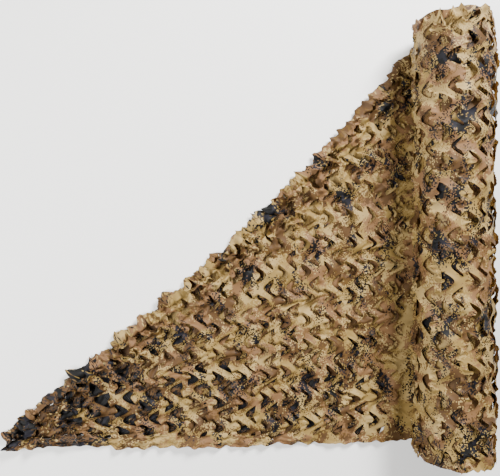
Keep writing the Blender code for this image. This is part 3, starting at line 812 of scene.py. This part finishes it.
def draw_shut(points, home):
    """Draws the cuts nearly shut in the layer underneath, where the cloth lies single, and at the fold.

    The two lips of a cut each move by a share of half the gap, and their ribbons widen evenly.
    """
    flat = np.column_stack([home[0].ravel(), home[1].ravel()]).astype(float)
    _, s = to_fold(flat)
    inside = edge_distance(flat, UNDER)
    single = smooth((SINGLE_EDGE - inside) / SINGLE_FADE) * (s > 0.0) * (flat[:, 0] < 0.0)
    at_crest = near(s, 0.0, CREST_REACH) * (flat[:, 0] < 0.0)
    share = np.maximum(UNDER_SHUT * ramp(-s, UNDER_SHUT_FROM), SINGLE_SHUT * single)
    share = np.maximum(share, CREST_SHUT * at_crest)
    share = share.reshape(home[0].shape).astype(np.float32)
    last = NARROW_LINES - 1
    narrow = np.linspace(0.0, 1.0, NARROW_LINES)[:, None]
    wide = np.linspace(0.0, 1.0, WIDE_LINES)[:, None]
    half = 0.5 * (points[:, :, last + 1] - points[:, :, last]) * share[:, last]
    points[:, :, : last + 1] += half[:, :, None] * narrow
    points[:, :, last + 1 :] -= half[:, :, None] * wide[::-1]
    half = 0.5 * (points[:, 1:, 0] - points[:, :-1, -1]) * share[1:, 0]
    points[:, :-1, last + 1 :] += half[:, :, None] * wide
    points[:, 1:, : last + 1] -= half[:, :, None] * narrow[::-1]


def pulled_net():
    """The cut cloth pulled to its homes: flat places and heights (3, columns, lines, rows), and its UV.

    The points start at their homes, moved a little by smooth noise, and are then relaxed.
    """
    cloth = cut_cloth()
    home = bunched(np.moveaxis(column_home(cloth[0], cloth[1]), -1, 0))
    low, high = height_band(home)
    _, s = to_fold(np.moveaxis(home, 0, -1))
    beside = near(s, *BESIDE) * (home[0] < 0.0)
    beside = beside * crumple(-home[0], BESIDE_CRUMPLE_RUN)
    tip_held = smooth((home[0] + CLOTH_REACH) / TIP_CALM)
    for axis, seed in enumerate(SEED_UNEVEN):
        shift = blend(UNEVEN_BY, beside) * smooth(-home[0] / ROOT_CALM) * tip_held
        home[axis] += waves(cloth[0], cloth[1], seed, UNEVEN) * shift
    home = home.astype(np.float32)
    low = low.astype(np.float32)
    high = high.astype(np.float32)
    points = np.concatenate([home, start_heights(cloth[0].shape, beside)[None]])
    relax(points, cloth, home, low, high)
    curl_lips(points, home)
    np.clip(points[2], low, high, out=points[2])
    draw_shut(points, home)
    return points, cloth


# ---------------------------------------------------------------------------------------------------------
# The net: how it lies on the frame


def creased(a, s):
    """The height of the creases along the fold: sharp ridges, of waves 1 - 2 |sin|, long along the fold.

    They rise and fall smoothly over CREASE_REACH, inward of the fold.
    """
    begin, full, end = CREASE_REACH
    share, place, over = CREASE_TIP
    full = full + (begin - full) * share * smooth((a / FOLD_LENGTH - place) / over)
    ridges = sum(
        1.0 - 2.0 * np.abs(np.sin(math.pi * (s / across + a / along) + phase))
        for across, along, phase in CREASES
    )
    band = hill(s, begin, full, end) * crumple(a)
    return CREASE * band * ridges / len(CREASES) ** 0.5


def ruffled(flat, a, s):
    """Moves the flat places beside the fold by smooth noise, and gives the height of the ruffles there."""
    height, shift = RUFFLE
    band = ramp(s, RUFFLE_START) * smooth((RUFFLE_REACH - s) / RUFFLE_FADE)
    band = band * crumple(a) * smooth(a / GROW)
    rise = height * band * waves(flat[:, 0], flat[:, 1], SEED_RUFFLE[0], RUFFLE_WAVES)
    shift = shift * band
    flat[:, 0] += shift * waves(flat[:, 0], flat[:, 1], SEED_RUFFLE[1], RUFFLE_WAVES)
    flat[:, 1] += shift * waves(flat[:, 0], flat[:, 1], SEED_RUFFLE[2], RUFFLE_WAVES)
    return rise


def frilled(flat):
    """Moves the near selvedge of the loose end in and out by smooth noise, and gives its height."""
    edge = blend(NEAR_EDGE, -flat[:, 0] / CLOTH_REACH)
    frill = near(flat[:, 1], edge, FRILL_REACH) * smooth(-flat[:, 0] / GROW)
    flat[:, 1] += FRILL * frill * waves(flat[:, 0], 0.0, SEED_FRILL[0], FRILL_WAVES)
    return FRILL_RISE * frill * waves(flat[:, 0], 0.0, SEED_FRILL[1], FRILL_WAVES)


def horns(a):
    """How far the crest of the fold stands out in horns at a: a row of peaks (1 - |t|)^1.5, seeded."""
    rng = np.random.default_rng(SEED_HORNS)
    count = int(FOLD_LENGTH / HORN_PITCH) + 2
    size = rng.uniform(*HORN_SIZES, count)
    moved = rng.uniform(-HORN_MOVED, HORN_MOVED, count)
    k = np.clip((a / HORN_PITCH).astype(int), 0, count - 1)
    t = (a / HORN_PITCH - k - 0.5 - moved[k]) / HORN_HALF
    ends = smooth(a / GROW) * smooth((FOLD_LENGTH - a) / HORN_FADE)
    return HORN * size[k] * np.maximum(1.0 - np.abs(t), 0.0) ** HORN_POWER * ends


def leaf_tips(shape):
    """How much of a leaf tip each point has: the corner of a narrow ribbon's lip, at the middle of a cut.

    Each cut's tip has its own seeded size. It falls off smoothly over TIP_ROWS along the lip, and over
    TIP_LINES into the ribbon.
    """
    columns, lines, rows = shape
    away, cut = from_cut(np.arange(rows), 0)
    size = np.random.default_rng(SEED_TIPS).uniform(*TIP_SIZES, (columns, cut.max() + 1))[:, cut - 1]
    size[0] = 0.0
    along = np.maximum(size, 0.0) * smooth(1.0 - away / TIP_ROWS)
    inward = np.zeros(lines)
    inward[: len(TIP_LINES)] = TIP_LINES
    return along[:, None, :] * inward[:, None]


def round_roll(flat, height, tip):
    """The places of the outer turn's points: out of the roll by their own height, leaf tips and puffs.

    Near its ends the cloth is also ruffled, and its edge is drawn in by notches, both by smooth noise.
    """
    arc, y = flat[:, 0], flat[:, 1]
    past = smooth((np.abs(y) - ROLL_EDGE[1] + END_REACH) / END_REACH)
    inward, ruffle = END_RAGGED
    puff = ROLL_PUFF * (0.5 + 0.5 * waves(arc, y, SEED_PUFF, PUFF_WAVES))
    outward = ROLL_TIP * tip - height + puff + past * ruffle * waves(arc, y, SEED_END, END_WAVES)
    notches = np.abs(waves(arc, 0.0, SEED_NOTCH, NOTCH_WAVES)) ** NOTCH_POWER
    y = y - np.sign(y) * past * inward * notches
    return wound(arc, y, np.clip(outward, *ROLL_RANGE))


def placed(points):
    """The pulled net in its place: the loose end on the folded sheet, the rest round the roll.

    A point stands off the middle of the frame's cloth by its own height, with the creases, the ruffles
    and the frill added. At the fold the leaf tips and the horns then stand out along TIP_WAY.
    """
    shape = points.shape[1:]
    flat = np.column_stack([points[0].ravel(), points[1].ravel()]).astype(float)
    a, s = to_fold(flat)
    height = points[2].ravel().astype(float) + creased(a, s)
    height += ruffled(flat, a, s)
    height += frilled(flat)
    middle, out = folded_middle(flat)
    place = middle + height[:, None] * out
    place[:, 2] = np.maximum(place[:, 2], FLOOR_CLEAR)
    tip = leaf_tips(shape).ravel()
    reach = LEAF_TIP * tip * near(s, 0.0, TIP_REACH)
    reach += horns(a) * np.cos(crest(a, s)[1]) ** LEAF_POWER
    place[:, :2] += reach[:, None] * TIP_WAY
    on_roll = flat[:, 0] > 0.0
    place[on_roll] = round_roll(flat[on_roll], height[on_roll], tip[on_roll])
    return place.reshape(*shape, 3)


# ---------------------------------------------------------------------------------------------------------
# The meshes


def mesh_piece(name, points, quads, uv):
    """A mesh object of quads, with a UV map in metres of the flat cloth."""
    mesh = bpy.data.meshes.new(name)
    mesh.vertices.add(len(points))
    mesh.vertices.foreach_set("co", np.asarray(points, np.float32).ravel())
    mesh.loops.add(quads.size)
    mesh.loops.foreach_set("vertex_index", quads.ravel().astype(np.int32))
    mesh.polygons.add(len(quads))
    mesh.polygons.foreach_set("loop_start", np.arange(0, quads.size, 4, dtype=np.int32))
    mesh.update(calc_edges=True)
    mesh.polygons.foreach_set("use_smooth", np.ones(len(quads), bool))
    layer = mesh.uv_layers.new(name="UVMap")
    layer.uv.foreach_set("vector", np.asarray(uv, np.float32)[quads.ravel()].ravel())
    mesh.validate()
    piece = bpy.data.objects.new(name, mesh)
    bpy.context.scene.collection.objects.link(piece)
    return piece


def net_piece(name, place, cloth, flip):
    """A piece of the net, of quads between its lines and rows, whole across bridges and open at cuts."""
    columns = place.shape[0]
    ids = np.arange(columns * LINES * ROWS).reshape(columns, LINES, ROWS)
    joined_first, joined_second = bridges()
    ids[:, NARROW_LINES, joined_second] = ids[:, NARROW_LINES - 1, joined_second]
    ids[1:, 0, joined_first] = ids[:-1, -1, joined_first]
    lines = np.array([k for k in range(LINES - 1) if k != NARROW_LINES - 1])
    a = ids[:, lines, :-1]
    b = ids[:, lines + 1, :-1]
    c = ids[:, lines + 1, 1:]
    d = ids[:, lines, 1:]
    quads = np.stack([a, d, c, b] if flip else [a, b, c, d], axis=-1).reshape(-1, 4)
    used, quads = np.unique(quads, return_inverse=True)
    uv = np.stack([cloth[0].ravel(), cloth[1].ravel()], axis=-1)[used]
    return mesh_piece(name, place.reshape(-1, 3)[used], quads.reshape(-1, 4), uv)


def end_turns(side):
    """The edge of the inner turns at one end of the roll: a strip that winds in, its edge ragged.

    Its radius comes in evenly from STRIP_RADIUS, by STRIP_TURN a turn. Across the strip, from inside the
    roll to the selvedge, the sine waves that ruffle it grow evenly, and so do the notches of its edge,
    which run straight between random depths.
    """
    turns = np.linspace(*STRIP_TURNS, STRIP_STEPS)
    across = np.linspace(0.0, 1.0, STRIP_LINES)[:, None]
    angle = 2.0 * math.pi * turns
    radius = STRIP_RADIUS - STRIP_TURN * turns
    arc = np.concatenate([[0.0], np.cumsum(np.diff(angle) * radius[1:])])
    notches = np.arange(0.0, arc[-1] + 2.0 * STRIP_NOTCH, STRIP_NOTCH)
    depths = np.random.default_rng(SEED_STRIP + int(side)).uniform(-1.0, 1.0, len(notches))
    ragged = np.interp(arc, notches, depths)
    slow = np.sin(arc * STRIP_SLOW[0] + side) + np.sin(arc * STRIP_SLOW[1] + 2.0 * side)
    first, second, share = STRIP_QUICK
    quick = np.sin(arc * first + side) + share * np.sin(arc * second)
    r = radius + across * (STRIP_RUFFLE[0] * quick + STRIP_RUFFLE[1] * slow)
    y = side * (STRIP_Y + across * (STRIP_WIDTH + STRIP_RAGGED[0] * ragged + STRIP_RAGGED[1] * slow))
    place = np.stack([r * np.sin(angle), y, ROLL_AXIS_Z - r * np.cos(angle)], axis=-1)
    uv = np.stack([STRIP_PRINT + arc + 0.0 * across, WIDTH / 2.0 + y], axis=-1)
    ids = np.arange(place.shape[0] * place.shape[1]).reshape(place.shape[:2])
    quads = np.stack([ids[:-1, :-1], ids[1:, :-1], ids[1:, 1:], ids[:-1, 1:]], axis=-1)
    quads = quads if side > 0.0 else quads[..., ::-1]
    return place.reshape(-1, 3), quads.reshape(-1, 4), uv.reshape(-1, 2)


def core_form():
    """The closed form of the cloth inside the outer turn: CORE_DEPTH inside it, with small lumps.

    Its ends are flat rings, each closed at the axis by a fan of quads.
    """
    around, along = CORE_GRID
    turn = np.linspace(0.0, 1.0, around + 1)[:-1]
    turn, y = np.meshgrid(turn, np.linspace(-CORE_HALF, CORE_HALF, along), indexing="ij")
    first, second, third = CORE_WAVES
    r = roll_radius(turn, y) - (CORE_DEPTH + ROLL_TURN * (1.0 - smooth(turn / CORE_STEP)))
    lumps = np.sin(2.0 * math.pi * (first * turn + second * y)) * np.sin(2.0 * math.pi * third * y)
    r += CORE_LUMP * lumps
    angle = 2.0 * math.pi * turn
    axis = np.array([0.0, 0.0, ROLL_AXIS_Z])
    body = np.stack([r * np.sin(angle), y, ROLL_AXIS_Z - r * np.cos(angle)], axis=-1)
    ends = []
    for end in (0, -1):
        rim = body[:, end] - axis
        ends.append(np.stack([rim * np.array([k, 1.0, k]) + axis for k in CORE_RINGS], axis=1))
    grid = np.concatenate([ends[0][:, ::-1], body, ends[1]], axis=1)
    centres = axis + np.array([(0.0, -CORE_HALF, 0.0), (0.0, CORE_HALF, 0.0)])
    count, rows = grid.shape[:2]
    ids = np.arange(count * rows).reshape(count, rows)
    after = np.roll(ids, -1, axis=0)
    quads = [np.stack([ids[:, :-1], after[:, :-1], after[:, 1:], ids[:, 1:]], axis=-1).reshape(-1, 4)]
    for ring, centre in ((ids[::-1, 0], count * rows), (ids[:, -1], count * rows + 1)):
        ring = np.append(ring, ring[0])
        quads.append(np.stack([np.full(count // 2, centre), ring[:-1:2], ring[1::2], ring[2::2]], axis=-1))
    print_x, print_y = CORE_PRINT
    printed = print_x + np.arange(count)[:, None] / count * CORE_PRINT_ROUND + 0.0 * grid[..., 0]
    uv = np.stack([printed, grid[..., 1] + print_y], axis=-1).reshape(-1, 2)
    return (
        np.concatenate([grid.reshape(-1, 3), centres]),
        np.concatenate(quads)[:, ::-1],
        np.concatenate([uv, [(print_x, print_y + y) for y in centres[:, 1]]]),
    )


def roll_core():
    """The cloth wound inside the outer turn: its closed form, and the strips that are its wound edges."""
    parts = [core_form(), end_turns(-1.0), end_turns(1.0)]
    starts = np.cumsum([0] + [len(part[0]) for part in parts])
    return mesh_piece(
        "netting_inner_turns",
        np.concatenate([part[0] for part in parts]),
        np.concatenate([part[1] + start for part, start in zip(parts, starts)]),
        np.concatenate([part[2] for part in parts]),
    )


# ---------------------------------------------------------------------------------------------------------
# Materials


def linear(hex_colour):
    """An sRGB hex colour as linear red, green, blue and alpha."""
    values = [int(hex_colour[i : i + 2], 16) / 255.0 for i in (1, 3, 5)]
    return [v / 12.92 if v <= 0.04045 else ((v + 0.055) / 1.055) ** 2.4 for v in values] + [1.0]


def node(tree, kind, settings=(), **inputs):
    """Adds a shader node, sets its settings, and sets or links its inputs by name, or as n and a number."""
    made = tree.nodes.new("ShaderNode" + kind)
    for key, value in settings:
        setattr(made, key, value)
    for key, value in inputs.items():
        socket = made.inputs[int(key[1:])] if key[0] == "n" and key[1:].isdigit() else made.inputs[key]
        if isinstance(value, bpy.types.NodeSocket):
            tree.links.new(value, socket)
        else:
            socket.default_value = value
    return made


def new_material(name):
    """An empty node material, and its tree."""
    material = bpy.data.materials.new(name)
    material.use_nodes = True
    material.node_tree.nodes.clear()
    return material, material.node_tree


def print_masks(tree, mm):
    """The masks of the print by name, worked out on millimetres that are snapped to squares of PIXEL. Some
    of them paint shade into the print: at the tip, in its under layer, and beside the roll.
    """
    flat = [("noise_dimensions", "2D")]
    square = (PIXEL, PIXEL, PIXEL)
    snapped = node(tree, "VectorMath", [("operation", "SNAP")], n0=mm, n1=square).outputs[0]
    axes = node(tree, "SeparateXYZ", Vector=snapped).outputs
    moved = node(tree, "VectorMath", [("operation", "ADD")], n0=snapped, n1=GRAIN_MOVE).outputs[0]
    # Grain gives each square a value of its own, which breaks up the edges of the patches.
    masks = {
        "grain": node(tree, "TexWhiteNoise", flat, Vector=snapped).outputs[0],
        "other grain": node(tree, "TexWhiteNoise", flat, Vector=moved).outputs[0],
    }
    for name, axis, begin, end in PAINTED_SHADE_FADES:
        fade = {"Value": axes[axis], "From Min": begin, "From Max": end}
        masks[name] = node(tree, "MapRange", [("interpolation_type", "SMOOTHSTEP")], **fade).outputs[0]
    # Painted shade: the tip's under layer, as far as it shows through the cuts, is darker still, for the
    # shade between the layers.
    times = [("operation", "MULTIPLY")]
    hidden = node(tree, "Math", times, n0=masks["underneath"], n1=masks["near side"]).outputs[0]
    masks["under tip shade"] = node(tree, "Math", times, n0=hidden, n1=masks["tip"]).outputs[0]
    for name, size, seed, detail, (turn, drawn), terms, level in PRINT_MASKS:
        away = (seed * SEED_MOVE[0], seed * SEED_MOVE[1], 0.0)
        where = node(tree, "VectorMath", [("operation", "ADD")], n0=snapped, n1=away).outputs[0]
        turned = {"Rotation": (0.0, 0.0, turn), "Scale": (1.0, drawn, 1.0)}
        where = node(tree, "Mapping", Vector=where, **turned).outputs[0]
        value = node(tree, "TexNoise", flat, Vector=where, Scale=1.0 / size, Detail=detail).outputs[0]
        for term, weight in terms:
            add = [("operation", "MULTIPLY_ADD")]
            value = node(tree, "Math", add, n0=masks[term], n1=weight, n2=value).outputs[0]
        edge = {"From Min": level - MASK_EDGE, "From Max": level + MASK_EDGE}
        masks[name] = node(tree, "MapRange", [("clamp", True)], Value=value, **edge).outputs[0]
    return masks


def cloth_material():
    """Polyester, woven plain, dyed and printed with a camouflage of small squares.

    The print gives the eye patches of khaki, tan and brown with ragged, stepped edges, and it is matt.
    The weave gives it a fine tooth, which spreads what gloss there is, and the cloth is thin enough for
    some light to come through, warmed by the dyes, at lips that are lit from behind.
    """
    material, tree = new_material("printed polyester, pixel camouflage")
    uv = node(tree, "UVMap", [("uv_map", "UVMap")]).outputs[0]
    mm = node(tree, "VectorMath", [("operation", "SCALE")], n0=uv, n3=1000.0).outputs[0]
    masks = print_masks(tree, mm)
    mix = [("data_type", "RGBA")]
    dark = node(tree, "Mix", mix, n0=masks["navy"], n6=linear(BLACK), n7=linear(NAVY)).outputs[2]
    colour = linear(KHAKI)
    for name, top in [(name, linear(dye)) for name, dye in PRINT_LAYERS] + [("dark", dark)]:
        colour = node(tree, "Mix", mix, n0=masks[name], n6=colour, n7=top).outputs[2]

    flat = [("noise_dimensions", "2D")]
    weave = node(tree, "TexNoise", flat, Vector=mm, Scale=THREADS, Detail=2.0).outputs[0]
    bump = node(tree, "Bump", Strength=WEAVE_STRENGTH, Distance=WEAVE_DEPTH, Height=weave).outputs[0]
    finish = {"Roughness": CLOTH_ROUGHNESS, "Specular IOR Level": CLOTH_SPECULAR}
    face = node(tree, "BsdfPrincipled", **{"Base Color": colour, "Normal": bump}, **finish)
    warmed = [("data_type", "RGBA"), ("blend_type", "MULTIPLY")]
    warm = node(tree, "Mix", warmed, n0=1.0, n6=colour, n7=linear(WARM))
    through = node(tree, "BsdfTranslucent", Color=warm.outputs[2], Normal=bump)
    mixed = node(tree, "MixShader", n0=LIGHT_THROUGH, n1=face.outputs[0], n2=through.outputs[0])
    node(tree, "OutputMaterial", Surface=mixed.outputs[0])
    return material


def floor_material():
    """Painted board: flat paint spreads all light evenly, so the floor has soft shadows and no gloss."""
    material, tree = new_material("painted board, matt")
    finish = {"Base Color": linear(FLOOR_COLOUR), "Roughness": FLOOR_ROUGHNESS}
    face = node(tree, "BsdfPrincipled", **finish)
    node(tree, "OutputMaterial", Surface=face.outputs[0])
    return material


# ---------------------------------------------------------------------------------------------------------
# The pieces

points, cloth = pulled_net()
place = placed(points)

fabric = cloth_material()
split = SHEET_COLUMNS
loose = net_piece("netting_loose_end", place[:split], cloth[:, :split], False)
outer = net_piece("netting_outer_turn", place[split:], cloth[:, split:], True)
core = roll_core()
for piece, cad in ((loose, "netting_sheet"), (outer, "netting_roll"), (core, "netting_roll")):
    piece.data.materials.append(fabric)
    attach(piece, "root")
    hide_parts(cad)

# ---------------------------------------------------------------------------------------------------------
# The floor, the light and the camera

low_x, low_y = FLOOR_LOW
high_x, high_y = FLOOR_HIGH
floor_mesh = bpy.data.meshes.new("floor")
floor_mesh.from_pydata(
    [(low_x, low_y, 0.0), (high_x, low_y, 0.0), (high_x, high_y, 0.0), (low_x, high_y, 0.0)],
    [],
    [(0, 1, 2, 3)],
)
floor = bpy.data.objects.new("floor", floor_mesh)
floor_mesh.materials.append(floor_material())
bpy.context.scene.collection.objects.link(floor)


def soft_box(name, at, aim, size, watts):
    """A square white area light that looks at a point."""
    data = bpy.data.lights.new(name, "AREA")
    data.size = size
    data.energy = watts
    data.color = linear(WHITE)[:3]
    lamp = bpy.data.objects.new(name, data)
    lamp.location = at
    lamp.rotation_euler = (Vector(aim) - Vector(at)).to_track_quat("-Z", "Y").to_euler()
    bpy.context.scene.collection.objects.link(lamp)


soft_box("key softbox", at=(1.3, 3.0, 2.6), aim=(-0.7, 0.0, 0.0), size=1.3, watts=640.0)
soft_box("fill softbox", at=(-3.0, -0.6, 2.8), aim=(-0.6, 0.0, 0.0), size=2.0, watts=240.0)

world = bpy.data.worlds.new("studio")
world.use_nodes = True
world.node_tree.nodes["Background"].inputs[0].default_value = linear(WHITE)
world.node_tree.nodes["Background"].inputs[1].default_value = WORLD_STRENGTH
bpy.context.scene.world = world

# The camera looks straight down.
camera_data = bpy.data.cameras.new("camera")
camera_data.sensor_width = CAMERA_SENSOR
camera_data.lens = CAMERA_LENS
camera = bpy.data.objects.new("camera", camera_data)
camera.location = CAMERA_AT
bpy.context.scene.collection.objects.link(camera)
bpy.context.scene.camera = camera
